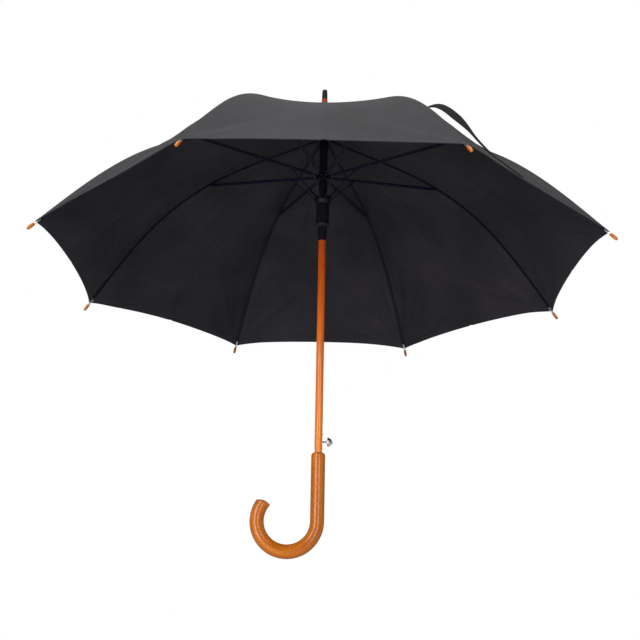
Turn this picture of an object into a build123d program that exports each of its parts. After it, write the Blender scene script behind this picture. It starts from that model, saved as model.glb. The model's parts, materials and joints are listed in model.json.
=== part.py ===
"""Automatic stick umbrella: wooden crook handle and shaft, eight-rib steel frame, fabric canopy.

Millimetres, +Z up along the shaft. The origin is on the shaft's axis at the middle of the grip.
The crook bends towards -X and the release button stands out on +X. Each rib's linkage is drawn
in the XZ plane, with X radial and Y tangential, and is then turned about the shaft.
"""

from build123d import *
from math import atan2, cos, degrees, hypot, radians, sin, sqrt, tan
import os

# ---- canopy and ribs -------------------------------------------------------------------------
RIBS = 8
FIRST_AZIMUTH = 22.5  # degrees from +X; the ribs are evenly spaced from here
HALF_GORE = 180 / RIBS  # degrees from a rib to the middle of a gore
RIM_Z = 385.0  # height of the plane through the canopy's eight corners
CORNER_R = 503.0  # radius of those corners
NOTCH_R = 10.0  # the ribs' pivots in the top notch
NOTCH_Z = 657.7
JOINT_R = 244.5  # where each stretcher meets its rib
JOINT_Z = 604.0
# the rib's centreline from notch to corner: (radius, height)
RIB_LINE = [
    (NOTCH_R, NOTCH_Z),
    (110.7, 639.2),
    (JOINT_R, JOINT_Z),
    (342.0, 550.9),
    (427.6, 472.0),
    (CORNER_R, RIM_Z),
]
RIB_W = 3.2  # U-section of the rib: width, height, and its groove
RIB_H = 3.0
GROOVE_W = 2.0
GROOVE_H = 2.2
FABRIC_T = 0.6
FABRIC_CLEAR = 3.3  # from a rib's centreline to the fabric's underside
GORE_SAG = 14.5  # how far a gore's middle dips under the line between its two ribs
SAG_V = 292.0  # the distance out along the gore where it dips most
RIM_SAG = 4.5
RIM_MID_V = 454.0  # the scalloped rim's distance from the shaft at mid gore
CANOPY_HOLE_R = 14.0

# ---- shaft, ferrule and handle ---------------------------------------------------------------
SHAFT_R = 6.7
SHAFT_TOP = 661.9
SPIGOT_R = 3.5
SPIGOT_TOP = 700.0
FERRULE_R = 5.6
FERRULE_BASE_R = 6.6
CAP_Z = 744.5
FERRULE_TOP = 765.9
HANDLE_R = 11.75
HANDLE_TOP = 57.0
GRIP_BOTTOM = -57.0  # where the straight grip turns into the hook
HOOK_R = 50.0
HOOK_DEGREES = 225.0  # the hook before its end is rounded off
HOOK_END = (-46.5, 12.0)  # middle of that rounding, from the hook's own centre
HOOK_END_R = 22.2
SOCKET_DEPTH = 40.0

# ---- runners, stretchers and struts ----------------------------------------------------------
HUB_R = 10.0  # the stretchers' pivots in the upper runner's crown
HUB_Z = 578.3
FLANGE_R = 13.0  # the struts' pivots in the lower runner's flange
FLANGE_Z = 531.5
BARREL_R = 12.0
BARREL_BOTTOM = 478.0
COLLAR_R = 8.2
COLLAR_BOTTOM = 447.5
TUBE_R = 7.9
RUNNER_BORE_R = 6.95
SPRING_BORE_R = 9.3
TUBE_BOTTOM = 526.5
WIRE_R = 0.5
STRUT_AT = 57.0  # where a strut meets its stretcher, from the stretcher's hub pivot
STRIP_IN = 1.9  # each stretcher is two strips with the rib between them
STRIP_OUT = 2.8
STRIP_H = 3.0
STRUT_W = 1.6

# ---- release button and latch ----------------------------------------------------------------
BUTTON_Z = 75.6
BUTTON_STEM_R = 1.65
BUTTON_KNOB_R = 7.8
KNOB_X = 14.8
KNOB_LENGTH = 9.2
PRESS = 3.0
LATCH_PIVOT = (2.5, 106.0)
LATCH_DEGREES = 6.0
NOSE_Z = 88.5

# ---- the frame's motion ----------------------------------------------------------------------
# Closed, rib and stretcher stand vertical at the notch's pivot radius.
rib_reach = hypot(JOINT_R - NOTCH_R, JOINT_Z - NOTCH_Z)
rib_open = degrees(atan2(NOTCH_Z - JOINT_Z, JOINT_R - NOTCH_R))
RIB_FOLD = 90 - rib_open
stretcher_length = hypot(JOINT_R - HUB_R, JOINT_Z - HUB_Z)
stretcher_open = degrees(atan2(JOINT_Z - HUB_Z, JOINT_R - HUB_R))
STRETCHER_SWING = 90 - stretcher_open
hub_closed = NOTCH_Z - rib_reach - stretcher_length
UPPER_TRAVEL = HUB_Z - hub_closed
strut_pin_open = (
    HUB_R + STRUT_AT * cos(radians(stretcher_open)),
    HUB_Z + STRUT_AT * sin(radians(stretcher_open)),
)
strut_length = hypot(strut_pin_open[0] - FLANGE_R, strut_pin_open[1] - FLANGE_Z)
strut_open = degrees(atan2(strut_pin_open[1] - FLANGE_Z, strut_pin_open[0] - FLANGE_R))
flange_closed = hub_closed + STRUT_AT - sqrt(strut_length**2 - (FLANGE_R - HUB_R) ** 2)
RUNNER_TRAVEL = FLANGE_Z - flange_closed
strut_closed = degrees(atan2(hub_closed + STRUT_AT - flange_closed, HUB_R - FLANGE_R))
STRUT_SWING = strut_closed - strut_open
# The outer rib straightens as it folds, until its chord stands this far off the vertical.
TIP_LEAN = 3.4
outer_chord = degrees(atan2(JOINT_Z - RIM_Z, CORNER_R - JOINT_R))
RIB_FLEX = 90 - TIP_LEAN - outer_chord - RIB_FOLD


def azimuth(k):
    return FIRST_AZIMUTH + 360 / RIBS * (k - 1)


def around(shape, k):
    """The k-th copy of a shape about the shaft."""
    return Rot(0, 0, azimuth(k)) * shape


def ring(outer, inner, bottom, top):
    """A plain tube on the shaft's axis."""
    body = Pos(0, 0, bottom) * Cylinder(outer, top - bottom, align=(Align.CENTER, Align.CENTER, Align.MIN))
    bore = Pos(0, 0, bottom - 1) * Cylinder(inner, top - bottom + 2, align=(Align.CENTER, Align.CENTER, Align.MIN))
    return body - bore


def turned(outline):
    """A solid turned about the shaft's axis from a closed outline of (radius, height)."""
    return revolve(Plane.XZ * make_face(outline), Axis.Z)


def pin(x, z, radius, inner, outer):
    """A round piece across the linkage's plane, between two tangential distances."""
    return Pos(x, (inner + outer) / 2, z) * Rot(90, 0, 0) * Cylinder(radius, outer - inner)


def bar(start, end, height, inner, outer):
    """A straight flat bar in the linkage's plane, between two tangential distances."""
    length = hypot(end[0] - start[0], end[1] - start[1])
    angle = degrees(atan2(end[1] - start[1], end[0] - start[0]))
    flat = Pos(length / 2, (inner + outer) / 2, 0) * Box(length, outer - inner, height)
    return Pos(start[0], 0, start[1]) * Rot(0, -angle, 0) * flat


def torus(radius, height, wire=WIRE_R):
    return Pos(0, 0, height) * Torus(radius, wire)


# ---- the rib's line --------------------------------------------------------------------------
rib_line = (Plane.XZ * Spline(*RIB_LINE)).edge()


def line_at(radius):
    """The rib line's height and downward slope at a radius."""
    low, high = 0.0, 1.0
    for _ in range(40):
        middle = (low + high) / 2
        if (rib_line @ middle).X < radius:
            low = middle
        else:
            high = middle
    direction = rib_line % low
    return (rib_line @ low).Z, -direction.Z / direction.X


def along(distance):
    """The fraction of the rib line at a distance from the notch pivot."""
    return distance / rib_line.length


joint_at = 0.5
for _ in range(40):
    joint_at += (JOINT_R - (rib_line @ joint_at).X) / rib_line.length
joint_distance = joint_at * rib_line.length


def u_channel(start, end):
    """The rib's folded steel section, open below, between two distances from the notch pivot."""
    path = rib_line.trim(along(start), along(end))
    section = Plane(path @ 0, x_dir=(0, 1, 0), z_dir=path % 0)
    up = 1 if section.y_dir.Z > 0 else -1
    profile = Rectangle(RIB_W, RIB_H) - Pos(0, -up * (RIB_H - GROOVE_H) / 2) * Rectangle(GROOVE_W, GROOVE_H)
    return sweep(section * profile, path=path)


# ---- fixed wooden parts ----------------------------------------------------------------------
def make_shaft():
    body = Pos(0, 0, HANDLE_TOP - SOCKET_DEPTH) * Cylinder(
        SHAFT_R, SHAFT_TOP - HANDLE_TOP + SOCKET_DEPTH, align=(Align.CENTER, Align.CENTER, Align.MIN)
    )
    body += Pos(0, 0, SHAFT_TOP) * Cylinder(
        SPIGOT_R, SPIGOT_TOP - SHAFT_TOP, align=(Align.CENTER, Align.CENTER, Align.MIN)
    )
    body -= ring(SHAFT_R + 1, SHAFT_R - 0.35, HANDLE_TOP + 0.5, HANDLE_TOP + 7)
    slot_bottom, slot_top, slot_back = 70.0, 110.0, -2.5
    body -= Pos((slot_back + 9) / 2, 0, (slot_bottom + slot_top) / 2) * Box(
        9 - slot_back, 3.0, slot_top - slot_bottom
    )
    body -= Pos(5, 0, BUTTON_Z) * Rot(0, 90, 0) * Cylinder(BUTTON_STEM_R + 0.15, 10.4)
    body -= pin(*LATCH_PIVOT, 1.0, -4.5, 4.5)
    return body


def make_handle():
    grip = Pos(0, 0, GRIP_BOTTOM) * Cylinder(
        HANDLE_R, HANDLE_TOP - GRIP_BOTTOM, align=(Align.CENTER, Align.CENTER, Align.MIN)
    )
    grip = fillet(grip.edges().sort_by(Axis.Z)[-1], 4.5)
    hook_axis = Axis((-HOOK_R, 0, GRIP_BOTTOM), (0, 1, 0))
    section = Plane((0, 0, GRIP_BOTTOM), z_dir=(0, 0, 1)) * Circle(HANDLE_R)
    hook = revolve(section, hook_axis, HOOK_DEGREES)
    beyond = Pos(-HOOK_R - 50, 0, GRIP_BOTTOM + 20) * Box(
        100, 60, 60, align=(Align.CENTER, Align.CENTER, Align.MIN)
    )
    beyond -= Pos(-HOOK_R + HOOK_END[0], 0, GRIP_BOTTOM + HOOK_END[1]) * Rot(90, 0, 0) * Sphere(HOOK_END_R)
    hook -= beyond
    hook = fillet(max(hook.edges(), key=lambda e: e.bounding_box().min.Z), 1.2)
    socket = Pos(0, 0, HANDLE_TOP - SOCKET_DEPTH) * Cylinder(
        SHAFT_R + 0.05, SOCKET_DEPTH + 1, align=(Align.CENTER, Align.CENTER, Align.MIN)
    )
    return grip + hook - socket


def make_ferrule():
    flare_top, tenon_r, tenon_top = 700.0, 4.2, 757.0
    outline = Polyline(
        (0, SHAFT_TOP + 0.1),
        (FERRULE_BASE_R, SHAFT_TOP + 0.1),
        (FERRULE_BASE_R, SHAFT_TOP + 10),
        (FERRULE_R, flare_top),
        (FERRULE_R, CAP_Z),
        (tenon_r, CAP_Z),
        (tenon_r, tenon_top),
        (0, tenon_top),
        close=True,
    )
    socket = Cylinder(SPIGOT_R + 0.05, SPIGOT_TOP - SHAFT_TOP + 1, align=(Align.CENTER, Align.CENTER, Align.MIN))
    return turned(outline) - Pos(0, 0, SHAFT_TOP) * socket


def make_ferrule_cap():
    base_r, top_r, bore_r, bore_top, round_off = 5.4, 4.8, 4.25, 757.2, 2.6
    outline = Polyline(
        (bore_r, CAP_Z + 0.05),
        (base_r, CAP_Z + 0.05),
        (top_r, FERRULE_TOP),
        (0, FERRULE_TOP),
        (0, bore_top),
        (bore_r, bore_top),
        close=True,
    )
    cap = turned(outline)
    return fillet(cap.edges().filter_by(GeomType.CIRCLE).sort_by(Axis.Z)[-1], round_off)


# ---- crown of the frame ----------------------------------------------------------------------
def make_top_notch():
    notch = ring(12.5, SHAFT_R + 0.05, 654.9, 661.0)
    for k in range(1, RIBS + 1):
        slot = Pos(11.6, 0, 656.8) * Box(7.0, 2.0, 6.0)
        notch -= around(slot, k)
    return notch - torus(NOTCH_R, NOTCH_Z, WIRE_R + 0.02)


def make_canopy_cap():
    outline = Polyline(
        (SHAFT_R + 0.05, 662.0), (14.0, 662.0), (13.2, 664.5), (9.0, 668.0), (SHAFT_R + 0.05, 668.0), close=True
    )
    cap = turned(outline)
    return fillet(cap.edges().filter_by(GeomType.CIRCLE).sort_by(SortBy.RADIUS)[-2:-1], 0.6)


# ---- canopy ----------------------------------------------------------------------------------
def sag(v):
    """How far a gore's middle dips at a distance v out along the gore."""
    if v < SAG_V:
        return GORE_SAG * (1 - ((v - SAG_V) / SAG_V) ** 2)
    return GORE_SAG - (GORE_SAG - RIM_SAG) * ((v - SAG_V) / (RIM_MID_V - SAG_V)) ** 2


def gore_section(v):
    """The gore's thin cross-section at a distance v out from the shaft."""
    half = v * tan(radians(HALF_GORE)) - 0.15
    height, slope = line_at(min(v / cos(radians(HALF_GORE)), CORNER_R))
    low = height + FABRIC_CLEAR * sqrt(1 + slope**2)
    high = low + FABRIC_T * sqrt(1 + slope**2)
    dip = sag(v)
    plane = Plane((v, 0, 0), x_dir=(0, 1, 0), z_dir=(1, 0, 0))
    outline = [
        ThreePointArc((-half, low), (0, low - dip), (half, low)),
        Line((half, low), (half, high)),
        ThreePointArc((half, high), (0, high - dip), (-half, high)),
        Line((-half, high), (-half, low)),
    ]
    return plane * make_face(outline)


def make_gore():
    """One gore about +X: a thin curved sheet with a scalloped rim."""
    corner_v = CORNER_R * cos(radians(HALF_GORE))
    corner_w = CORNER_R * sin(radians(HALF_GORE))
    stations = [CANOPY_HOLE_R, 60.0, 130.0, 210.0, 290.0, 360.0, 420.0, corner_v - 0.1]
    gore = loft([gore_section(v) for v in stations])
    rim = [
        ThreePointArc((corner_v, -corner_w), (RIM_MID_V, 0), (corner_v, corner_w)),
        Polyline((corner_v, corner_w), (corner_v + 40, corner_w), (corner_v + 40, -corner_w), (corner_v, -corner_w)),
    ]
    outside = extrude(make_face(rim), NOTCH_Z + 50)
    return gore - outside


def make_canopy():
    gore = make_gore()
    gores = [Rot(0, 0, azimuth(k) + HALF_GORE) * gore for k in range(1, RIBS + 1)]
    return Compound(children=gores)


# ---- tie strap -------------------------------------------------------------------------------
# Places on the strap are given in its gore's own directions: v out along the gore, w across it.
STRAP_GORE = 7  # the strap is on the gore after this rib
STRAP_W = 22.0
STRAP_T = 1.2
STRAP_START = (235.0, -60.0)  # its free end, with the snap
STRAP_END = (446.0, -36.0)  # its sewn end, at the rim
STRAP_ARCH = (0.08, 0.39, 0.82)  # shares where it leaves the fabric, stands highest and comes back
STRAP_RISE = 30.0
STRAP_CLEAR = 2.8
SNAP_AT = 0.05


def fabric_top(v, w):
    height, slope = line_at(min(v / cos(radians(HALF_GORE)), CORNER_R))
    across = w / (v * tan(radians(HALF_GORE)))
    return height + (FABRIC_CLEAR + FABRIC_T) * sqrt(1 + slope**2) - sag(v) * (1 - across**2)


def strap_lift(share):
    leave, top, back = STRAP_ARCH
    part = (share - leave) / (top - leave) if share < top else (back - share) / (back - top)
    return STRAP_RISE * (1 - cos(radians(180 * min(max(part, 0), 1)))) / 2


def strap_middle(share):
    (v0, w0), (v1, w1) = STRAP_START, STRAP_END
    v, w = v0 + share * (v1 - v0), w0 + share * (w1 - w0)
    return Vector(v, w, fabric_top(v, w) + STRAP_CLEAR + strap_lift(share))


def strap_plane(share):
    """The strap's cross-section, level with the fabric under it."""
    step = 0.01
    ahead = (strap_middle(share + step) - strap_middle(share - step)).normalized()
    heading = atan2(STRAP_END[1] - STRAP_START[1], STRAP_END[0] - STRAP_START[0])
    out, over = -sin(heading), cos(heading)
    v, w, _ = strap_middle(share)
    fabric_slope = (fabric_top(v + out, w + over) - fabric_top(v - out, w - over)) / 2
    across = Vector(out, over, fabric_slope)
    return Plane(strap_middle(share), x_dir=across - ahead * across.dot(ahead), z_dir=ahead)


def make_tie_strap():
    stations = [i / 14 for i in range(15)]
    strap = loft([strap_plane(share) * Rectangle(STRAP_W, STRAP_T) for share in stations])
    return Rot(0, 0, azimuth(STRAP_GORE) + HALF_GORE) * strap


def make_strap_snap():
    stud = Cylinder(5.0, 1.4, align=(Align.CENTER, Align.CENTER, Align.MIN))
    stud += Pos(0, 0, 1.4) * Cylinder(2.4, 1.6, align=(Align.CENTER, Align.CENTER, Align.MIN))
    section = strap_plane(SNAP_AT)
    up = section.y_dir if section.y_dir.Z > 0 else -section.y_dir
    place = Plane(section.origin + up * (STRAP_T / 2 + 0.45), x_dir=section.z_dir, z_dir=up)
    return Rot(0, 0, azimuth(STRAP_GORE) + HALF_GORE) * (place * stud)


# ---- runners ---------------------------------------------------------------------------------
def make_runner():
    """The lower runner: collar, barrel over the spring, and slotted flange."""
    flange_r, flange_bottom, flange_top = 15.0, FLANGE_Z - 4.5, FLANGE_Z + 4.0
    outline = Polyline(
        (RUNNER_BORE_R, COLLAR_BOTTOM),
        (COLLAR_R, COLLAR_BOTTOM),
        (COLLAR_R, BARREL_BOTTOM - 3),
        (BARREL_R - 1.5, BARREL_BOTTOM - 1),
        (BARREL_R, BARREL_BOTTOM + 1.5),
        (BARREL_R, flange_bottom - 7),
        (flange_r, flange_bottom),
        (flange_r, flange_top),
        (SPRING_BORE_R, flange_top),
        (SPRING_BORE_R, BARREL_BOTTOM + 3),
        (RUNNER_BORE_R, BARREL_BOTTOM + 3),
        close=True,
    )
    body = turned(outline)
    for k in range(1, RIBS + 1):
        slot = Pos(13.6, 0, flange_top - 2.9) * Box(5.4, 2.2, 6.4)
        body -= around(slot, k)
    window_low = NOSE_Z - 1 + RUNNER_TRAVEL
    body -= Pos(8, 0, window_low + 3.5) * Box(4, 3.8, 7)
    return body - torus(FLANGE_R, FLANGE_Z, WIRE_R + 0.02)


def make_upper_runner():
    """The upper runner: a long sleeve on the shaft, and the crown that carries the stretchers."""
    sleeve_top, crown_r, crown_bottom, crown_top = 654.4, 11.6, 572.5, 582.0
    body = ring(TUBE_R, RUNNER_BORE_R, TUBE_BOTTOM, sleeve_top)
    crown = ring(crown_r, TUBE_R - 0.3, crown_bottom, crown_top)
    for k in range(1, RIBS + 1):
        slot = Pos(8.0 + 3, 0, crown_top - 2.8) * Box(6.0, 2 * STRIP_OUT + 0.8, 6.4)
        crown -= around(slot, k)
    rim = ring(crown_r + 0.4, TUBE_R - 0.3, crown_bottom - 2.5, crown_bottom + 1.0)
    rim = fillet(rim.edges().filter_by(GeomType.CIRCLE).sort_by(SortBy.RADIUS)[-1:], 0.8)
    body += crown + rim
    for k in range(1, RIBS + 1):
        strut_groove = Pos(13.0, 0, crown_bottom + 2) * Box(4.4, 2.4, 14)
        body -= around(strut_groove, k)
    return body - torus(HUB_R, HUB_Z, WIRE_R + 0.02)


def make_opening_spring():
    wire, mean_r, turns = 0.45, 8.1, 9
    bottom, top = BARREL_BOTTOM + 3.6, TUBE_BOTTOM - 0.6
    helix = Helix(pitch=(top - bottom - 2 * wire) / turns, height=top - bottom - 2 * wire, radius=mean_r)
    section = Plane(helix @ 0, z_dir=helix % 0) * Circle(wire)
    return Pos(0, 0, bottom + wire) * sweep(section, path=helix, is_frenet=True)


# ---- button and latch ------------------------------------------------------------------------
def make_release_button():
    """A bell-shaped knob on a stem, turned about Z and then laid along +X."""
    stem_length = KNOB_X - 3.7
    outline = [
        Line((0, -stem_length), (BUTTON_STEM_R, -stem_length)),
        Line((BUTTON_STEM_R, -stem_length), (BUTTON_STEM_R, 0)),
        Line((BUTTON_STEM_R, 0), (BUTTON_KNOB_R - 1.2, 0)),
        ThreePointArc((BUTTON_KNOB_R - 1.2, 0), (BUTTON_KNOB_R, 1.1), (BUTTON_KNOB_R - 0.5, 2.4)),
        ThreePointArc((BUTTON_KNOB_R - 0.5, 2.4), (4.8, 6.6), (1.0, KNOB_LENGTH)),
        Line((1.0, KNOB_LENGTH), (0, KNOB_LENGTH)),
        Line((0, KNOB_LENGTH), (0, -stem_length)),
    ]
    return Pos(KNOB_X, 0, BUTTON_Z) * Rot(0, 90, 0) * turned(outline)


def make_release_latch():
    """A flat lever in the shaft's slot, with the nose that holds the runner down."""
    x, z = LATCH_PIVOT
    outline = Polyline(
        (1.5, 72.0), (3.6, 72.0), (3.6, NOSE_Z), (7.8, NOSE_Z), (7.8, 90.6), (3.6, 94.5),
        (4.6, 104.0), (4.6, 108.0), (0.4, 108.0), (0.4, 104.0), (1.5, 98.0), close=True,
    )
    lever = extrude(Plane.XZ * make_face(outline), amount=1.1, both=True)
    return lever - pin(x, z, 1.2, -3, 3)


def make_latch_spring():
    """A leaf in the slot behind the latch, pressing it out."""
    outline = Polyline(
        (-2.4, 71.0), (-2.1, 71.0), (-2.1, 80.0), (1.2, 86.5), (1.2, 88.0), (0.9, 88.0), (0.9, 86.6), (-2.4, 80.2),
        close=True,
    )
    return extrude(Plane.XZ * make_face(outline), amount=1.0, both=True)


# ---- one rib's linkage -----------------------------------------------------------------------
def make_rib_inner():
    joint_gap, eye_gap = 3.0, 4.4
    body = u_channel(eye_gap, joint_distance - joint_gap)
    inward = rib_line @ along(8.0)
    body += bar((NOTCH_R, NOTCH_Z), (inward.X, inward.Z), 2.4, -0.7, 0.7)
    body += pin(NOTCH_R, NOTCH_Z, 1.6, -0.7, 0.7)
    body -= pin(NOTCH_R, NOTCH_Z, 0.85, -1, 1)
    before = rib_line @ along(joint_distance - 8.0)
    body += bar((before.X, before.Z), (JOINT_R, JOINT_Z), 2.4, -0.5, 0.5)
    body += pin(JOINT_R, JOINT_Z, 2.0, -0.5, 0.5)
    return body - pin(JOINT_R, JOINT_Z, 1.15, -1, 1)


def make_rib_outer():
    joint_gap, tip_pin_length = 3.0, 6.0
    body = u_channel(joint_distance + joint_gap, rib_line.length)
    beyond = rib_line @ along(joint_distance + 7.0)
    for inner, outer in ((0.8, RIB_W / 2), (-RIB_W / 2, -0.8)):
        body += bar((JOINT_R, JOINT_Z), (beyond.X, beyond.Z), 2.6, inner, outer)
        body += pin(JOINT_R, JOINT_Z, 2.1, inner, outer)
    body += pin(JOINT_R, JOINT_Z, 0.85, -RIB_W / 2, RIB_W / 2)
    direction = rib_line % 1
    start = (rib_line @ 1) - direction * 5
    tip = Plane(start, z_dir=direction) * Cylinder(
        0.8, 5 + tip_pin_length, align=(Align.CENTER, Align.CENTER, Align.MIN)
    )
    plug = Plane(start, x_dir=(0, 1, 0), z_dir=direction) * Box(
        RIB_W - 0.6, RIB_H - 0.6, 5, align=(Align.CENTER, Align.CENTER, Align.MIN)
    )
    return body + tip + plug


def make_rib_tip():
    """The turned wooden bead on a rib's end, which holds the canopy's corner."""
    length, gap = 15.5, 0.3
    outline = [
        Line((0, gap), (2.3, gap)),
        ThreePointArc((2.3, gap), (2.9, 6.5), (2.5, 13.0)),
        ThreePointArc((2.5, 13.0), (1.8, 14.7), (0.6, length)),
        Line((0.6, length), (0, length)),
        Line((0, length), (0, gap)),
    ]
    socket = Cylinder(0.85, 6.3, align=(Align.CENTER, Align.CENTER, Align.MIN))
    bead = turned(outline) - socket
    return Plane(rib_line @ 1, x_dir=(0, 1, 0), z_dir=rib_line % 1) * bead


def make_stretcher():
    """Two flat steel strips with the rib and the strut between them, tied by two spacers."""
    hub, joint = (HUB_R, HUB_Z), (JOINT_R, JOINT_Z)
    slope = radians(stretcher_open)

    def point(distance):
        return HUB_R + distance * cos(slope), HUB_Z + distance * sin(slope)

    body = None
    for inner, outer in ((STRIP_IN, STRIP_OUT), (-STRIP_OUT, -STRIP_IN)):
        strip = bar(hub, joint, STRIP_H, inner, outer)
        strip += pin(*hub, 1.7, inner, outer) + pin(*joint, 1.9, inner, outer)
        body = strip if body is None else body + strip
    for distance in (78.0, 118.0):
        body += pin(*point(distance), 0.8, -STRIP_OUT - 0.4, STRIP_OUT + 0.4)
    head = 0.5
    for distance in (STRUT_AT, stretcher_length):
        for side in (1, -1):
            inner, outer = sorted((side * (STRIP_OUT - 0.1), side * (STRIP_OUT + head)))
            body += pin(*point(distance), 1.4, inner, outer)
    for inner, outer in ((1.2, STRIP_IN + 0.1), (-STRIP_IN - 0.1, -1.2)):
        body += pin(*point(STRUT_AT), 0.6, inner, outer)
    return body - pin(*hub, 1.1, -4, 4)


def make_strut():
    foot, head = (FLANGE_R, FLANGE_Z), strut_pin_open
    half = STRUT_W / 2
    body = bar(foot, head, 1.8, -half, half) + pin(*foot, 1.6, -half, half) + pin(*head, 1.6, -half, half)
    return body - pin(*foot, 0.8, -2, 2) - pin(*head, 0.8, -2, 2)


# ---- all nodes -------------------------------------------------------------------------------
def nodes():
    """Every node's name and solid."""
    named = {
        "shaft": make_shaft(),
        "handle": make_handle(),
        "ferrule": make_ferrule(),
        "ferrule_cap": make_ferrule_cap(),
        "top_notch": make_top_notch(),
        "notch_wire": torus(NOTCH_R, NOTCH_Z),
        "canopy_cap": make_canopy_cap(),
        "inner_rosette": ring(17.0, SHAFT_R + 0.05, 661.2, 661.8),
        "canopy": make_canopy(),
        "tie_strap": make_tie_strap(),
        "strap_snap": make_strap_snap(),
        "runner": make_runner(),
        "runner_wire": torus(FLANGE_R, FLANGE_Z),
        "upper_runner": make_upper_runner(),
        "upper_runner_wire": torus(HUB_R, HUB_Z),
        "opening_spring": make_opening_spring(),
        "release_button": make_release_button(),
        "release_latch": make_release_latch(),
        "latch_pin": pin(*LATCH_PIVOT, 0.95, -4.4, 4.4),
        "latch_spring": make_latch_spring(),
    }
    linkage = {
        "rib_inner": make_rib_inner(),
        "rib_outer": make_rib_outer(),
        "rib_tip": make_rib_tip(),
        "stretcher": make_stretcher(),
        "strut": make_strut(),
    }
    for name, solid in linkage.items():
        for k in range(1, RIBS + 1):
            named[f"{name}_{k}"] = around(solid, k)
    return named


def main():
    os.makedirs("parts", exist_ok=True)
    for name, solid in nodes().items():
        export_step(solid, f"parts/{name}.step")
    print(f"rib length {rib_line.length:.1f}, rib fold {RIB_FOLD:.3f}, rib flex {RIB_FLEX:.3f}")
    print(f"runner travel {RUNNER_TRAVEL:.3f}, upper runner travel {UPPER_TRAVEL:.3f}")
    print(f"stretcher swing {STRETCHER_SWING:.3f}, strut swing {STRUT_SWING:.3f}")


main()
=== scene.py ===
"""Looks for an automatic stick umbrella: canopy cloth, tie strap, materials, light and camera."""

import json
import math

import bpy
import numpy as np
from mathutils import Matrix, Vector


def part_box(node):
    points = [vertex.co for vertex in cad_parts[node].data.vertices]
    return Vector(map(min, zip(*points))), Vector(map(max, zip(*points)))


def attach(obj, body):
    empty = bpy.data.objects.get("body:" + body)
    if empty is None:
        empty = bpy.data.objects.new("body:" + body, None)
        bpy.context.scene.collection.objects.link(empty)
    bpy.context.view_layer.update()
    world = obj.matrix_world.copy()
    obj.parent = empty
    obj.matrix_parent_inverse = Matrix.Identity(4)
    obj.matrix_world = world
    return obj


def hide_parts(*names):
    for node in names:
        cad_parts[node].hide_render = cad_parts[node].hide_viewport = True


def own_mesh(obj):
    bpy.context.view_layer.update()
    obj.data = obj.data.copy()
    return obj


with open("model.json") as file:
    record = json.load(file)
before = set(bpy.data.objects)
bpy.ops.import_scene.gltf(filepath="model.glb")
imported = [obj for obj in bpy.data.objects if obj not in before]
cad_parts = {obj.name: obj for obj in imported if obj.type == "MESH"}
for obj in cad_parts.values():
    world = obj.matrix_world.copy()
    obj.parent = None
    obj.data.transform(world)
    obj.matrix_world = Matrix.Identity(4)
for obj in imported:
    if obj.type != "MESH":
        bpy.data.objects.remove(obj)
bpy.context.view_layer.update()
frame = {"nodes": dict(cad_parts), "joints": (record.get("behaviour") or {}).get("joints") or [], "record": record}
nodes = frame["nodes"]
joints = {j["name"]: j for j in frame["joints"]}

MM = 0.001
RIBS = 8
HALF_GORE = math.pi / RIBS


# ---- the frame's own measures ----------------------------------------------------------------
def azimuth(k):
    """The direction of rib k, from its fold joint."""
    x, y, _ = joints[f"rib_{k}_fold"]["pos_m"]
    return math.atan2(y, x)


def rib_top_line():
    """(radius, height) points along the top of rib 1: the upper hull of its two CAD nodes."""
    out = np.array([math.cos(azimuth(1)), math.sin(azimuth(1))])
    points = []
    for name in ("rib_inner_1", "rib_outer_1"):
        co = np.array([v.co for v in nodes[name].data.vertices])
        points += [(p[:2] @ out, p[2]) for p in co]
    hull = []
    for p in sorted(points):
        while len(hull) > 1:
            (ax, az), (bx, bz) = hull[-2:]
            if (bx - ax) * (p[1] - az) - (bz - az) * (p[0] - ax) < 0:
                break
            hull.pop()
        hull.append(p)
    return np.array(hull)


BEAD_TO_CORNER = 4.9 * MM  # from the middle of a rib's bead in to the canopy's corner
RIB_START_R = 14.4 * MM
top_line = rib_top_line()
bead_low, bead_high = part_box("rib_tip_1")
corner_r = math.hypot((bead_low[0] + bead_high[0]) / 2, (bead_low[1] + bead_high[1]) / 2) - BEAD_TO_CORNER
sampled = np.linspace(RIB_START_R, corner_r, 240)
rib_fit = np.polynomial.Polynomial.fit(sampled, np.interp(sampled, top_line[:, 0], top_line[:, 1]), 8)
rib_slope = rib_fit.deriv()
joint_r = math.hypot(*joints["rib_1_flex"]["pos_m"][:2])

# ---- the canopy's own shape ------------------------------------------------------------------
CLOTH_T = 0.5 * MM
CLOTH_LIFT = 0.55 * MM  # between the rib's top and the middle of the cloth
GORE_SAG = 14.5 * MM
SAG_V = 292 * MM
RIM_SAG = 4.5 * MM
RIM_MID_V = 454 * MM
CENTRE_R = 8.5 * MM
CROWN_RISE = 3.0 * MM
CROWN_FADE = (13.5 * MM, 26 * MM)
CREASE = 1.2 * MM
PULL_REACH = 130 * MM  # how far the folds run from a corner
PULLS = ((11, 1.3 * MM), (19, 0.8 * MM))  # folds in a turn, and their size
SLACK = 1.1 * MM
SEAM_DIP = 0.35 * MM
corner_v = corner_r * math.cos(HALF_GORE)
corner_w = corner_r * math.sin(HALF_GORE)


def smooth(x, low, high):
    t = np.clip((x - low) / (high - low), 0, 1)
    return t * t * (3 - 2 * t)


def sag(v):
    inner = GORE_SAG * (1 - ((v - SAG_V) / SAG_V) ** 2)
    outer = GORE_SAG - (GORE_SAG - RIM_SAG) * ((v - SAG_V) / (RIM_MID_V - SAG_V)) ** 2
    return np.where(v < SAG_V, inner, outer)


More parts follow.
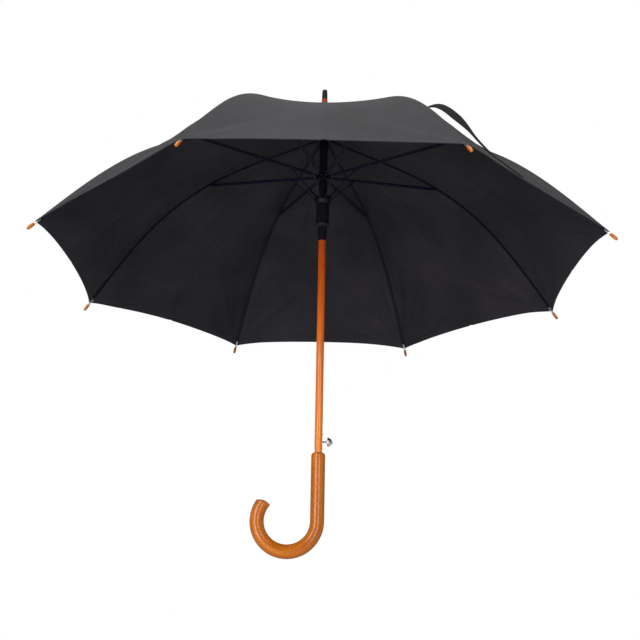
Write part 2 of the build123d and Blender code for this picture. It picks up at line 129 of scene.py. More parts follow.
def pulls(v, w, gore):
    """Small folds: pulls towards the two corners, a pressed crease, slack waves and dips at the seams."""
    total = np.zeros_like(v)
    rng = np.random.default_rng(40 + gore)
    for side in (-1, 1):
        dv, dw = corner_v - v, corner_w - side * w
        far = np.hypot(dv, dw)
        angle = np.arctan2(dw, np.maximum(dv, 1e-6))
        fade = np.exp(-((far / PULL_REACH) ** 2)) * smooth(far, 0.008, 0.06) * smooth(angle, 0.40, 0.70)
        for number, size in PULLS:
            size *= rng.uniform(0.7, 1.25)
            total += size * fade * np.sin(number * angle + rng.uniform(0, 6))
    total += CREASE * np.exp(-((w / (3.2 * MM)) ** 2)) * smooth(v, 0.02, 0.12)
    wave = rng.uniform(0, 6, 2)
    across = w / np.maximum(v * math.tan(HALF_GORE), 1e-6)
    edge = np.clip(1 - across**2, 0, 1)
    total += SLACK * edge * np.sin(v * 19 + wave[0]) * np.cos(w * 13 + wave[1]) * smooth(v, 0.05, 0.2)
    seam = (1 - np.abs(across)) * v * math.tan(HALF_GORE)
    return total - SEAM_DIP * np.exp(-((seam / (2.2 * MM)) ** 2))


def cloth_height(v, w, gore):
    """Height of the cloth's middle at v along the gore's centre line and w across it."""
    v, w = np.asarray(v, float), np.asarray(w, float)
    r = np.minimum(v / math.cos(HALF_GORE), corner_r)
    across = w / np.maximum(v * math.tan(HALF_GORE), 1e-6)
    base = rib_fit(r) + CLOTH_LIFT * np.sqrt(1 + rib_slope(r) ** 2)
    crown = CROWN_RISE * (1 - smooth(v, *CROWN_FADE))
    return base + crown - sag(v) * np.clip(1 - across**2, -1, 1) + pulls(v, w, gore)


def rim_v(w):
    """The scalloped rim: one shallow arc between the corners, a little steeper near them."""
    share = np.abs(w) / corner_w
    return RIM_MID_V + (corner_v - RIM_MID_V) * (0.8 * share**2 + 0.2 * share**6)


def rim_reach(q):
    """How far out along the rib's direction the rim is, at share q of the way to mid gore."""
    angle = math.atan(q * math.tan(HALF_GORE))
    rho = corner_r
    for _ in range(30):
        rho = rim_v(rho * math.sin(HALF_GORE - angle)) / math.cos(HALF_GORE - angle)
    return rho * math.cos(angle)


def on_cloth(k, side, u, t):
    """Places on the cloth: u out along rib k, t across from it towards the gore on that side."""
    gore = k if side > 0 else (k - 2) % RIBS + 1
    a = azimuth(k)
    mid = a + side * HALF_GORE
    x = u * math.cos(a) - side * t * math.sin(a)
    y = u * math.sin(a) + side * t * math.cos(a)
    v = x * math.cos(mid) + y * math.sin(mid)
    w = -x * math.sin(mid) + y * math.cos(mid)
    return np.stack([x, y, cloth_height(v, w, gore)], axis=-1)


def cloth_normals(k, side, u, t):
    step = 1.0 * MM
    along = on_cloth(k, side, u + step, t) - on_cloth(k, side, u - step, t)
    across = on_cloth(k, side, u, t + step) - on_cloth(k, side, u, np.maximum(t - step, 0))
    n = np.cross(along, across) * side
    return n / np.linalg.norm(n, axis=-1, keepdims=True)


# ---- materials -------------------------------------------------------------------------------
def new_material(name, colour, roughness, **settings):
    """A Principled material; settings are the shader's own socket names with _ for spaces."""
    material = bpy.data.materials.new(name)
    material.use_nodes = True
    shader = material.node_tree.nodes["Principled BSDF"]
    shader.inputs["Base Color"].default_value = (*colour, 1)
    shader.inputs["Roughness"].default_value = roughness
    for key, value in settings.items():
        shader.inputs[key.replace("_", " ")].default_value = value
    return material


def add(material, kind, links=(), **values):
    """A new node; links are (input, output socket) pairs and values are its properties."""
    node = material.node_tree.nodes.new(kind)
    for key, value in values.items():
        if hasattr(node, key):
            setattr(node, key, value)
        else:
            node.inputs[key.replace("_", " ")].default_value = value
    for socket, source in links:
        material.node_tree.links.new(node.inputs[socket], source)
    return node


def connect(material, socket, source):
    shader = material.node_tree.nodes["Principled BSDF"]
    material.node_tree.links.new(shader.inputs[socket], source)


def ramp(material, source, *stops):
    node = add(material, "ShaderNodeValToRGB", [("Fac", source)])
    elements = node.color_ramp.elements
    while len(elements) < len(stops):
        elements.new(0.5)
    for element, (position, colour) in zip(elements, stops):
        element.position = position
        element.color = (*colour, 1)
    return node.outputs["Color"]


def bump(material, source, strength, distance, before=None):
    node = add(material, "ShaderNodeBump", [("Height", source)], Strength=strength, Distance=distance)
    if before is not None:
        material.node_tree.links.new(node.inputs["Normal"], before)
    return node.outputs["Normal"]


def place(material, scale, rotation=(0, 0, 0)):
    """Object coordinates in metres, scaled."""
    source = add(material, "ShaderNodeTexCoord").outputs["Object"]
    node = add(material, "ShaderNodeMapping", [("Vector", source)])
    node.inputs["Scale"].default_value = scale
    node.inputs["Rotation"].default_value = rotation
    return node.outputs["Vector"]


def object_axes(material):
    source = add(material, "ShaderNodeTexCoord").outputs["Object"]
    return add(material, "ShaderNodeSeparateXYZ", [("Vector", source)]).outputs


def noise(material, vector, detail, roughness=0.5, **settings):
    node = add(material, "ShaderNodeTexNoise", [("Vector", vector)], Scale=1.0, Detail=detail,
               Roughness=roughness, **settings)
    return node.outputs["Fac"]


def map_range(material, value, **limits):
    return add(material, "ShaderNodeMapRange", [("Value", value)], **limits).outputs["Result"]


def calculate(material, operation, first, second=None):
    """One Math node; each value is a number or an output socket."""
    node = add(material, "ShaderNodeMath", operation=operation)
    for index, value in enumerate((first, second)):
        if isinstance(value, (int, float)):
            node.inputs[index].default_value = value
        elif value is not None:
            material.node_tree.links.new(node.inputs[index], value)
    return node.outputs[0]


def length_of(material, first, second):
    """The distance that two offsets at right angles make."""
    squares = [calculate(material, "MULTIPLY", value, value) for value in (first, second)]
    return calculate(material, "SQRT", calculate(material, "ADD", *squares))


def blend_of(material, factor, first, second, colours=False, mode="MIX"):
    """A Mix node of two values or two colours; the factor is a number or a socket."""
    node = add(material, "ShaderNodeMix", data_type="RGBA" if colours else "FLOAT", blend_type=mode)
    sockets = (0, 6, 7) if colours else (0, 2, 3)
    for index, value in zip(sockets, (factor, first, second)):
        if isinstance(value, bpy.types.NodeSocket):
            material.node_tree.links.new(node.inputs[index], value)
        elif isinstance(value, tuple):
            node.inputs[index].default_value = (*value, 1)
        else:
            node.inputs[index].default_value = value
    return node.outputs[2 if colours else 0]


def grain_coordinates(material, across, along, bend=None):
    """Coordinates that follow the wood's grain: straight up, and round the crook below the bend.

    bend is (x of the crook's centre, z of the centre) or None for straight wood.
    """
    x, y, z = object_axes(material)
    if bend is not None:
        from_x = calculate(material, "SUBTRACT", x, bend[0])
        from_z = calculate(material, "SUBTRACT", z, bend[1])
        radius = length_of(material, from_x, from_z)
        angle = calculate(material, "ARCTAN2", calculate(material, "MULTIPLY", from_z, -1.0), from_x)
        arc = calculate(material, "MULTIPLY", angle, bend[0])
        below = calculate(material, "LESS_THAN", from_z, 0.0)
        x = blend_of(material, below, from_x, radius)
        z = blend_of(material, below, from_z, arc)
    joined = add(material, "ShaderNodeCombineXYZ", [("X", x), ("Y", y), ("Z", z)]).outputs[0]
    scale = (across, across, along)
    return add(material, "ShaderNodeMapping", [("Vector", joined)], Scale=scale).outputs[0]


def lacquered_wood(name, dark, middle, light, bend=None, painted_shade=None):
    """Stained wood with long grain and pores, under clear gloss lacquer.

    The last argument is (height where painted shade starts to darken the wood, height where it is darkest, the
    tint there): the canopy's shade, painted into the colour.
    """
    material = new_material(
        name, middle, 0.5, Coat_Weight=0.6, Coat_Roughness=0.11, Coat_IOR=1.5, Specular_IOR_Level=0.05
    )
    broad = noise(material, grain_coordinates(material, 150, 7, bend), 4.0, 0.55, Distortion=0.4)
    fine = noise(material, grain_coordinates(material, 900, 26, bend), 3.0, 0.6)
    pores = noise(material, grain_coordinates(material, 2400, 140, bend), 1.0)
    stain_and_shade = ramp(material, blend_of(material, 0.35, broad, fine), (0.34, dark), (0.5, middle), (0.68, light))
    # painted shade: from the first height upwards, the wood's colour darkens towards the tint, for the canopy's
    # shade
    if painted_shade is not None:
        low, high, shade_tint = painted_shade
        share = map_range(material, object_axes(material)["Z"], From_Min=low, From_Max=high)
        shade = ramp(material, share, (0, (1, 1, 1)), (1, shade_tint))
        stain_and_shade = blend_of(material, 1.0, stain_and_shade, shade, True, "MULTIPLY")
    pore_mask = ramp(material, pores, (0.66, (0, 0, 0)), (0.72, (1, 1, 1)))
    darker = tuple(c * 0.55 for c in dark)
    pore_share = calculate(material, "MULTIPLY", pore_mask, 0.45)
    connect(material, "Base Color", blend_of(material, pore_share, stain_and_shade, darker, True))
    connect(material, "Normal", bump(material, fine, 0.02, 0.2 * MM))
    return material


def streaks(material):
    """Faint lines of tension in the cloth, out from the crown and from the nearest corner: a pattern for their
    bumps and for their painted light and shade.
    """
    x, y, _ = object_axes(material)
    away = length_of(material, x, y)
    round_crown = calculate(material, "ARCTAN2", y, x)
    crown = add(material, "ShaderNodeCombineXYZ", [("X", round_crown), ("Y", away)]).outputs[0]
    corner = add(material, "ShaderNodeUVMap", uv_map="pull").outputs["UV"]
    lines = []
    for start, turns, reach in ((crown, 16, 5), (corner, 13, 7)):
        scaled = add(material, "ShaderNodeMapping", [("Vector", start)], Scale=(turns, reach, 1)).outputs[0]
        lines.append(noise(material, scaled, 4.0, 0.6))
    far = add(material, "ShaderNodeSeparateXYZ", [("Vector", corner)]).outputs["Y"]
    near = map_range(material, far, From_Min=0.28, From_Max=0.10)
    return blend_of(material, near, *lines)


def dashes(material, away, along, at, pitch, width=0.5 * MM):
    """A row of stitches: a dashed line at a distance from an edge."""
    near = calculate(material, "ABSOLUTE", calculate(material, "SUBTRACT", away, at))
    line = calculate(material, "LESS_THAN", near, width / 2)
    beat = calculate(material, "FRACT", calculate(material, "DIVIDE", along, pitch))
    return calculate(material, "MULTIPLY", line, calculate(material, "LESS_THAN", beat, 0.68))


def woven_cloth(name, colour, sheen, thread, roughness=0.62, stitched=(), mapped=True, pulled=0.0):
    """Fine plain weave with broad darker and paler patches, partly the cloth's own unevenness
    and partly painted shade and sheen, and rows of stitches.

    The weave follows the piece's own "cloth" map, and the stitches its "edge" map: each row in
    stitched is (which edge distance, the distance, the stitch length). pulled is how strongly
    the lines of tension show, as bumps and as painted light and shade along them.
    """
    material = new_material(
        name, colour, roughness, Sheen_Weight=sheen, Sheen_Roughness=0.35, Specular_IOR_Level=0.2
    )
    if mapped:
        uv = add(material, "ShaderNodeUVMap", uv_map="cloth").outputs["UV"]
    else:
        uv = place(material, (1, 1, 1))
    waves = [
        add(material, "ShaderNodeTexWave", [("Vector", uv)], wave_type="BANDS", bands_direction=direction,
            Scale=0.5 / thread, Distortion=0.6, Detail=1.0).outputs["Fac"]
        for direction in ("X", "Y")
    ]
    weave = calculate(material, "MULTIPLY", *waves)
    # broad darker and paler patches: partly the cloth's own uneven tone, partly painted shade and sheen
    patchy_tone_and_light = noise(material, place(material, (9, 9, 9)), 4.0)
    deep_and_shaded, pale_and_sheened = tuple(c * 0.74 for c in colour), tuple(c * 1.3 for c in colour)
    tone = ramp(material, patchy_tone_and_light, (0.36, deep_and_shaded), (0.5, colour), (0.66, pale_and_sheened))
    slubs = noise(material, place(material, (260, 260, 260)), 3.0)
    mottled = ramp(material, slubs, (0.32, (0.84, 0.84, 0.84)), (0.68, (1.14, 1.14, 1.14)))
    tone = blend_of(material, 1.0, tone, mottled, True, "MULTIPLY")
    if pulled:
        # painted light and shade: the tone is lighter and darker along the lines of tension, where their folds
        # catch or miss the light
        tension = streaks(material)
        low, high = (tuple([1 + way * 0.3 * pulled] * 3) for way in (-1, 1))
        painted_fold_light = ramp(material, tension, (0.36, low), (0.64, high))
        tone = blend_of(material, 1.0, tone, painted_fold_light, True, "MULTIPLY")
    thread_tone = ramp(material, weave, (0.0, (0.78, 0.78, 0.78)), (0.6, (1.1, 1.1, 1.1)))
    cloth = blend_of(material, 1.0, tone, thread_tone, True, "MULTIPLY")
    height = weave
    if stitched:
        maps = add(material, "ShaderNodeUVMap", uv_map="edge").outputs["UV"]
        edges = add(material, "ShaderNodeSeparateXYZ", [("Vector", maps)]).outputs
        ways = add(material, "ShaderNodeSeparateXYZ", [("Vector", uv)]).outputs
        rows = [dashes(material, edges[which], ways[1 - which], at, pitch) for which, at, pitch in stitched]
        mask = rows[0]
        for row in rows[1:]:
            mask = calculate(material, "MAXIMUM", mask, row)
        thread_colour = tuple(c * 1.7 + 0.004 for c in colour)
        cloth = blend_of(material, calculate(material, "MULTIPLY", mask, 0.8), cloth, thread_colour, True)
        height = calculate(material, "ADD", weave, calculate(material, "MULTIPLY", mask, 1.5))
    connect(material, "Base Color", cloth)
    folds = bump(material, tension, 0.5 * pulled, 6 * MM) if pulled else None
    connect(material, "Normal", bump(material, height, 0.25, thread * 0.4, folds))
    return material


def painted_metal(name, colour, roughness):
    """Enamelled steel with faint orange peel and worn, duller patches."""
    material = new_material(
        name, colour, roughness, Specular_IOR_Level=0.25, Coat_Weight=0.1, Coat_Roughness=0.25
    )
    peel = noise(material, place(material, (900, 900, 900)), 2.0)
    wear = noise(material, place(material, (60, 60, 60)), 5.0)
    rough = map_range(material, wear, To_Min=roughness - 0.08, To_Max=roughness + 0.14)
    connect(material, "Roughness", rough)
    lighter = [c * 1.6 + 0.004 for c in colour]
    connect(material, "Base Color", ramp(material, wear, (0.35, colour), (0.75, lighter)))
    connect(material, "Normal", bump(material, peel, 0.1, 0.1 * MM))
    return material


def pinned_steel(name, colour, roughness, pin_from):
    """Enamelled steel whose outer end, past a distance from the shaft's axis, is a bright bare pin."""
    material = painted_metal(name, colour, roughness)
    x, y, _ = object_axes(material)
    bare = calculate(material, "GREATER_THAN", length_of(material, x, y), pin_from)
    shader = material.node_tree.nodes["Principled BSDF"]
    enamel = shader.inputs["Base Color"].links[0].from_socket
    connect(material, "Base Color", blend_of(material, bare, enamel, (0.72, 0.72, 0.73), True))
    connect(material, "Metallic", bare)
    return material


def moulded_plastic(name, colour, roughness):
    """Satin moulded plastic with a fine grain."""
    material = new_material(name, colour, roughness, Specular_IOR_Level=0.22)
    cells = place(material, (1500, 1500, 1500))
    grain = add(material, "ShaderNodeTexVoronoi", [("Vector", cells)], Scale=1.0).outputs["Distance"]
    connect(material, "Normal", bump(material, grain, 0.15, 0.1 * MM))
    mottle = noise(material, place(material, (80, 80, 80)), 3.0)
    lighter = [c * 1.5 + 0.003 for c in colour]
    connect(material, "Base Color", ramp(material, mottle, (0.35, colour), (0.7, lighter)))
    return material


def bright_metal(name, colour, roughness):
    """Polished or drawn metal with fine handling marks."""
    material = new_material(name, colour, roughness, Metallic=1.0)
    marks = noise(material, place(material, (400, 400, 2500)), 4.0)
    rough = map_range(material, marks, To_Min=roughness * 0.7, To_Max=roughness * 1.6)
    connect(material, "Roughness", rough)
    return material


crook_low, crook_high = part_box("handle")
HOOK_R = 50 * MM
crook_centre = (-HOOK_R, crook_low[2] + HOOK_R + crook_high[0])
handle_wood = lacquered_wood(
    "handle_wood", (0.29, 0.062, 0.004), (0.43, 0.112, 0.006), (0.54, 0.165, 0.014), bend=crook_centre
)
# painted shade: the shaft's colour darkens up towards the canopy, for the canopy's shade on it
SHAFT_PAINTED_SHADE = (110 * MM, 400 * MM, (0.80, 0.42, 0.40))
shaft_wood = lacquered_wood(
    "shaft_wood", (0.52, 0.130, 0.012), (0.66, 0.185, 0.018), (0.76, 0.245, 0.030), painted_shade=SHAFT_PAINTED_SHADE
)
tip_wood = lacquered_wood("tip_wood", (0.18, 0.027, 0.004), (0.25, 0.042, 0.006), (0.33, 0.062, 0.010))
SEWN = [(0, 5.2 * MM, 2.6 * MM), (0, 1.4 * MM, 2.6 * MM), (1, 2.2 * MM, 2.6 * MM)]
HEMMED = [(0, 1.6 * MM, 2.4 * MM), (1, 2.5 * MM, 2.4 * MM)]
THREAD = 0.9 * MM
outer_cloth = woven_cloth(
    "canopy_outside", (0.0205, 0.0194, 0.0238), 0.05, THREAD, stitched=SEWN, pulled=0.4
)
# the inside's colour is a little darker and more purple than the outside's: the darkening is painted shade of the
# canopy's underside
inner_cloth = woven_cloth(
    "canopy_inside", (0.0180, 0.0158, 0.0212), 0.02, THREAD, stitched=SEWN, pulled=0.5
)
# painted shade: the strap is coloured much darker than the canopy cloth, for the shade on its arch
strap_cloth = woven_cloth("strap_cloth", (0.0070, 0.0068, 0.0082), 0.0, 1.2 * MM, 0.85, stitched=HEMMED)
rosette_cloth = woven_cloth("rosette_cloth", (0.018, 0.017, 0.019), 0.05, THREAD, mapped=False)
NAVY = (0.0035, 0.0042, 0.019)
PIN_FROM = 494 * MM
black_steel = painted_metal("black_steel", NAVY, 0.42)
rib_steel = pinned_steel("rib_steel", NAVY, 0.42, PIN_FROM)
black_plastic = moulded_plastic("black_plastic", (0.0055, 0.0050, 0.0085), 0.42)
chrome = bright_metal("bright_metal", (0.78, 0.78, 0.79), 0.12)
steel_wire = bright_metal("spring_steel", (0.5, 0.5, 0.5), 0.3)
by_slot = {
    "handle_wood": handle_wood,
    "shaft_wood": shaft_wood,
    "black_steel": black_steel,
    "black_plastic": black_plastic,
    "bright_metal": chrome,
    "spring_steel": steel_wire,
    "canopy_fabric": outer_cloth,
    "strap_fabric": strap_cloth,
}


def dress_cad_nodes():
    """Every CAD node takes the material of its slot."""
    for part in frame["record"]["subparts"]:
        node = nodes[part["node"]]
        node.data.materials.clear()
        node.data.materials.append(by_slot[part["material_slot"]])
    nodes["inner_rosette"].data.materials[0] = rosette_cloth
    nodes["ferrule"].data.materials[0] = tip_wood
    for k in range(1, RIBS + 1):
        nodes[f"rib_outer_{k}"].data.materials[0] = rib_steel


# ---- canopy ----------------------------------------------------------------------------------
# columns from the rib to mid gore, as shares of the way: close together at the seam and the crease
COLUMNS = [0, 0.006, 0.013, 0.022, *np.linspace(0.045, 0.95, 20), 0.972, 0.984, 0.993, 1]
ROWS = {"inner": 22, "outer": 34}
HEM = 6.5 * MM
RIB_OVER_RADIUS = 1.15  # roughly: length along a rib over its reach, for the weave's scale


def thin_sheet(name, middle, normals, half, materials, maps, flip=False):
    """A closed sheet: both sides of a grid of points, at half its thickness, and its edge walls."""
    high, wide = middle.shape[:2]
    count = high * wide
    lift = normals * np.asarray(half)[..., None]
    points = np.concatenate([(middle + lift).reshape(-1, 3), (middle - lift).reshape(-1, 3)])
    faces, kinds = [], []
    for i in range(high - 1):
        for j in range(wide - 1):
            a, b, c, d = i * wide + j, i * wide + j + 1, (i + 1) * wide + j + 1, (i + 1) * wide + j
            top = (a, b, c, d) if flip else (a, d, c, b)
            faces += [top, tuple(count + x for x in reversed(top))]
            kinds += [0, 1]
    edge = list(range(wide)) + [(i + 1) * wide - 1 for i in range(1, high)]
    edge += [(high - 1) * wide + j for j in range(wide - 2, -1, -1)]
    edge += [i * wide for i in range(high - 2, 0, -1)]
    for a, b in zip(edge, edge[1:] + edge[:1]):
        wall = (a, b, count + b, count + a)
        faces.append(tuple(reversed(wall)) if flip else wall)
        kinds.append(2)
    mesh = bpy.data.meshes.new(name)
    mesh.from_pydata(points.tolist(), [], faces)
    for material in materials:
        mesh.materials.append(material)
    flat_normals = normals.reshape(-1, 3)
    loop_normals, loop_vertices = [], []
    for polygon, kind in zip(mesh.polygons, kinds):
        polygon.use_smooth = True
        polygon.material_index = min(kind % 2, len(materials) - 1)
        level = tuple(polygon.normal)
        for vertex in polygon.vertices:
            n = flat_normals[vertex % count]
            loop_vertices.append(vertex % count)
            loop_normals.append(level if kind == 2 else tuple(n if kind == 0 else -n))
    for map_name, values in maps.items():
        layer = mesh.uv_layers.new(name=map_name)
        layer.data.foreach_set("uv", values.reshape(-1, 2)[loop_vertices].ravel())
    mesh.normals_split_custom_set(loop_normals)
    piece = bpy.data.objects.new(name, mesh)
    bpy.context.scene.collection.objects.link(piece)
    return piece


def zone_rows(zone):
    """Each column's distances out along the rib, from one end of the zone to the other."""
    shares = np.arange(ROWS[zone] + 1) / ROWS[zone]
    if zone == "inner":
        return np.array([CENTRE_R + (joint_r - CENTRE_R) * shares for _ in COLUMNS]).T
    columns = []
    for q in COLUMNS:
        rim = rim_reach(q)
        body = joint_r + (rim - HEM - 1.5 * MM - joint_r) * (1 - (1 - shares) ** 1.2)
        columns.append([*body, rim - HEM, rim - HEM / 2, rim - 0.8 * MM, rim])
    return np.array(columns).T


def make_cloth_piece(k, side, zone):
    """One zone of one half gore, as a thin closed sheet with its outside, inside and edges."""
    u = zone_rows(zone)
    t = u * np.array(COLUMNS) * math.tan(HALF_GORE)
    middle, normals = on_cloth(k, side, u, t), cloth_normals(k, side, u, t)
    from_rim = u[-1] - u if zone == "outer" else np.full(u.shape, 1.0)
    half = np.where(from_rim < HEM + 0.1 * MM, 1.1 * CLOTH_T, 0.5 * CLOTH_T)
    word = "left" if side > 0 else "right"
    to_corner = np.stack([np.arctan2(t, corner_r - u), np.hypot(t, corner_r - u)], axis=-1)
    to_corner[..., 0] += 7 * (2 * k + (side > 0))  # so that no two corners have the same streaks
    maps = {
        "cloth": np.stack([u * RIB_OVER_RADIUS, side * t], axis=-1),
        "edge": np.stack([from_rim, t], axis=-1),
        "pull": to_corner,
    }
    name = f"canopy_gore_{k}_{word}_{zone}"
    piece = thin_sheet(name, middle, normals, half, [outer_cloth, inner_cloth], maps, flip=side < 0)
    return piece, middle


def fold_with(piece, k, zone, chord):
    """The piece moves with its rib."""
    a = azimuth(k)
    tangent = Vector((-math.sin(a), math.cos(a), 0))
    inward = tangent.cross(chord).normalized()
    if inward.z > 0:
        inward = -inward
    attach(piece, f"rib_{zone}_{k}")
    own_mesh(piece)


def make_canopy():
    for k in range(1, RIBS + 1):
        for side in (1, -1):
            for zone in ("inner", "outer"):
                piece, points = make_cloth_piece(k, side, zone)
                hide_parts("canopy")
                fold_with(piece, k, zone, Vector(points[-1, 0] - points[0, 0]).normalized())


# ---- tie strap -------------------------------------------------------------------------------
STRAP_GORE = 7
STRAP_W = 22 * MM
STRAP_T = 0.9 * MM
STRAP_START = (235 * MM, -60 * MM)  # v out along the gore and w across it
STRAP_END = (446 * MM, -36 * MM)
STRAP_CLEAR = 1.5 * MM  # between the middles of the cloth and the strap, where it lies flat
STRAP_CUP = 0.9 * MM
STRAP_RISE = 30 * MM
STRAP_ARCH = (0.08, 0.39, 0.82)  # shares of its length where it leaves, is highest and is back
STRAP_TWIST = 0.85
TWIST_STARTS = (0.02, 0.25)
TWIST_ENDS = (0.50, 0.66)
SNAP_AT = 0.05


def strap_lift(share):
    """How far the strap stands off the cloth: it leaves it, arches up and comes back."""
    leave, top, back = STRAP_ARCH
    part = (share - leave) / (top - leave) if share < top else (back - share) / (back - top)
    return STRAP_RISE * (1 - math.cos(math.pi * min(max(part, 0), 1))) / 2


def strap_place(share):
    """Middle of the strap, and its directions along, across and up, in the gore's v, w and z."""

    def middle(s):
        v = STRAP_START[0] + s * (STRAP_END[0] - STRAP_START[0])
        w = STRAP_START[1] + s * (STRAP_END[1] - STRAP_START[1])
        return np.array([v, w, float(cloth_height(v, w, STRAP_GORE)) + STRAP_CLEAR + strap_lift(s)])

    step = 0.006
    here = middle(share)
    along = middle(share + step) - middle(share - step)
    along /= np.linalg.norm(along)
    heading = math.atan2(STRAP_END[1] - STRAP_START[1], STRAP_END[0] - STRAP_START[0])
    side = np.array([-math.sin(heading), math.cos(heading)])
    near, far = here[:2] - side * STRAP_W / 2, here[:2] + side * STRAP_W / 2
    cloth_slope = float(cloth_height(*far, STRAP_GORE) - cloth_height(*near, STRAP_GORE)) / STRAP_W
    twist = STRAP_TWIST * float(smooth(share, *TWIST_STARTS) * (1 - smooth(share, *TWIST_ENDS)))
    across = np.array([*side, cloth_slope + twist])
    across -= along * (across @ along)
    across /= np.linalg.norm(across)
    return here, along, across, np.cross(along, across)


def to_frame(vectors):
    """From the strap gore's directions to the frame's."""
    mid = azimuth(STRAP_GORE) + HALF_GORE
    turn = np.array([[math.cos(mid), -math.sin(mid), 0], [math.sin(mid), math.cos(mid), 0], [0, 0, 1]])
    return vectors @ turn.T


def make_strap():
    rows, wide = 90, 12
    widths = np.linspace(-0.5, 0.5, wide + 1) * STRAP_W
    middle, normals, distance = [], [], 0.0
    cloth, edge = [], []
    last = None
    for share in np.linspace(0, 1, rows + 1):
        here, _, across, up = strap_place(share)
        distance += 0 if last is None else np.linalg.norm(here - last)
        last = here
        cupped = STRAP_CUP * np.cos(widths / STRAP_W * math.pi) * strap_lift(share) / STRAP_RISE
        middle.append(here + np.outer(widths, across) + np.outer(cupped, up))
        normals.append(np.repeat(up[None], wide + 1, axis=0))
        cloth.append([(distance, w) for w in widths])
        edge.append([(STRAP_W / 2 - abs(w), distance) for w in widths])
    middle, normals = to_frame(np.array(middle)), to_frame(np.array(normals))
    edge = np.array(edge)
    edge[..., 1] = np.minimum(edge[..., 1], distance - edge[..., 1])
    piece = thin_sheet("tie_strap_cloth", middle, normals, STRAP_T / 2, [strap_cloth],
                       {"cloth": np.array(cloth), "edge": edge})
    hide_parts("tie_strap")
    chord = Vector(
        on_cloth(STRAP_GORE, 1, corner_r, 0.0) - on_cloth(STRAP_GORE, 1, joint_r, 0.0)
    ).normalized()
    fold_with(piece, STRAP_GORE, "outer", chord)
    return chord


def make_snap(chord):
    """The press stud on the strap's free end: a turned profile, seated on the strap."""
    here, along, across, up = strap_place(SNAP_AT)
    # (radius, height) in millimetres
    knob = [(0.0, 3.0), (1.5, 2.9), (2.2, 2.3), (2.2, 1.5)]
    profile = knob + [(3.2, 1.2), (4.6, 1.0), (5.0, 0.55), (4.8, 0.1), (0.0, 0.1)]
    turns = 28
    points, faces = [], []
    for radius, height in profile:
        for i in range(turns):
            angle = 2 * math.pi * i / turns
            flat = along * math.cos(angle) + across * math.sin(angle)
            points.append(here + flat * radius * MM + up * (height * MM + STRAP_T / 2))
    for ring in range(len(profile) - 1):
        for i in range(turns):
            a, b = ring * turns + i, ring * turns + (i + 1) % turns
            faces.append((a, b, b + turns, a + turns))
    mesh = bpy.data.meshes.new("strap_stud")
    mesh.from_pydata(to_frame(np.array(points)).tolist(), [], faces)
    mesh.materials.append(chrome)
    for polygon in mesh.polygons:
        polygon.use_smooth = True
    piece = bpy.data.objects.new("strap_stud", mesh)
    bpy.context.scene.collection.objects.link(piece)
    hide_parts("strap_snap")
    fold_with(piece, STRAP_GORE, "outer", chord)


# ---- light, floor and camera -----------------------------------------------------------------
EYE = (0.0, -1.571, -0.242)
PITCH = math.radians(18.876)
ROLL = 0.0182
FOCAL = 52.57
SHIFT_X = -0.0011
FLOOR_Z = -0.62
FLOOR_GLOW = 0.84
GLOW_SHARE = 0.7
SURROUND = 0.26
SOFT_BOXES = (  # name, place, what it points at, size and power
    ("box_left", (-1.55, -2.3, 0.2), (0, 0, 0.15), (1.2, 2.4), 66),
    ("box_right", (0.95, -2.7, 0.2), (0, 0, 0.15), (0.9, 2.4), 40),
    ("top_fill", (0.0, -0.6, 2.6), (0, 0, 0.4), (1.6, 1.6), 26),
)


def make_camera():
    camera = bpy.data.cameras.new("camera")
    camera.lens = FOCAL
    camera.sensor_width = 36
    camera.shift_x = SHIFT_X
    camera.clip_start, camera.clip_end = 0.01, 60
    obj = bpy.data.objects.new("camera", camera)
    forward = Vector((0, math.cos(PITCH), math.sin(PITCH)))
    flat_right = Vector((1, 0, 0))
    flat_up = flat_right.cross(forward)
    right = flat_right * math.cos(ROLL) + flat_up * math.sin(ROLL)
    up = flat_up * math.cos(ROLL) - flat_right * math.sin(ROLL)
    turn = Matrix((right, up, -forward)).transposed().to_4x4()
    obj.matrix_world = Matrix.Translation(EYE) @ turn
    bpy.context.scene.collection.objects.link(obj)
    bpy.context.scene.camera = obj


def soft_light(name, location, target, size, power):
    light = bpy.data.lights.new(name, "AREA")
    light.shape = "RECTANGLE"
    light.size, light.size_y = size
    light.energy = power
    obj = bpy.data.objects.new(name, light)
    obj.location = location
    obj.rotation_euler = (Vector(target) - Vector(location)).to_track_quat("-Z", "Y").to_euler()
    bpy.context.scene.collection.objects.link(obj)


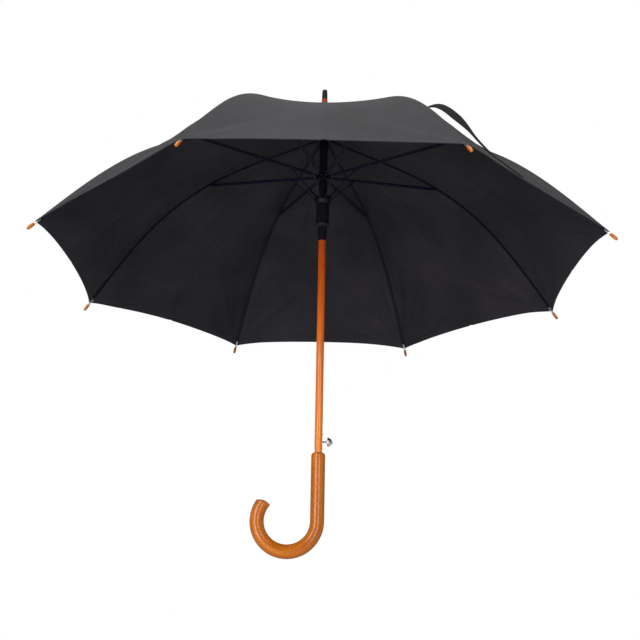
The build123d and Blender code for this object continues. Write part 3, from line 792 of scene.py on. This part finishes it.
def pale_floor():
    """Matt white that stays pale in the distance: part of what the camera sees is its own glow."""
    material = new_material("pale_floor", (0.86, 0.86, 0.86), 0.8)
    rays = add(material, "ShaderNodeLightPath").outputs["Is Camera Ray"]
    glow = add(material, "ShaderNodeEmission", Color=(1, 1, 1, 1), Strength=FLOOR_GLOW).outputs[0]
    lit = material.node_tree.nodes["Principled BSDF"].outputs[0]
    share = calculate(material, "MULTIPLY", rays, GLOW_SHARE)
    mixed = add(material, "ShaderNodeMixShader", [(0, share), (1, lit), (2, glow)]).outputs[0]
    output = material.node_tree.nodes["Material Output"]
    material.node_tree.links.new(output.inputs["Surface"], mixed)
    return material


def make_stage():
    """White to the camera, as in a product shot, with a dimmer surround and three soft boxes."""
    world = bpy.data.worlds.new("studio")
    world.use_nodes = True
    tree = world.node_tree
    surround = tree.nodes["Background"]
    surround.inputs["Color"].default_value = (1, 1, 1, 1)
    surround.inputs["Strength"].default_value = SURROUND
    backdrop = tree.nodes.new("ShaderNodeBackground")
    rays = tree.nodes.new("ShaderNodeLightPath")
    mix = tree.nodes.new("ShaderNodeMixShader")
    backdrop.inputs["Color"].default_value = (1, 1, 1, 1)
    tree.links.new(mix.inputs["Fac"], rays.outputs["Is Camera Ray"])
    tree.links.new(mix.inputs[1], surround.outputs[0])
    tree.links.new(mix.inputs[2], backdrop.outputs[0])
    tree.links.new(tree.nodes["World Output"].inputs["Surface"], mix.outputs[0])
    bpy.context.scene.world = world
    bpy.context.scene.view_settings.view_transform = "Standard"
    mesh = bpy.data.meshes.new("floor")
    reach = 30
    corners = [(-reach, -reach, 0), (reach, -reach, 0), (reach, reach, 0), (-reach, reach, 0)]
    mesh.from_pydata(corners, [], [(0, 1, 2, 3)])
    floor = bpy.data.objects.new("floor", mesh)
    floor.location.z = FLOOR_Z
    mesh.materials.append(pale_floor())
    bpy.context.scene.collection.objects.link(floor)
    for light in SOFT_BOXES:
        soft_light(*light)


make_camera()
make_stage()
dress_cad_nodes()
make_canopy()
make_snap(make_strap())
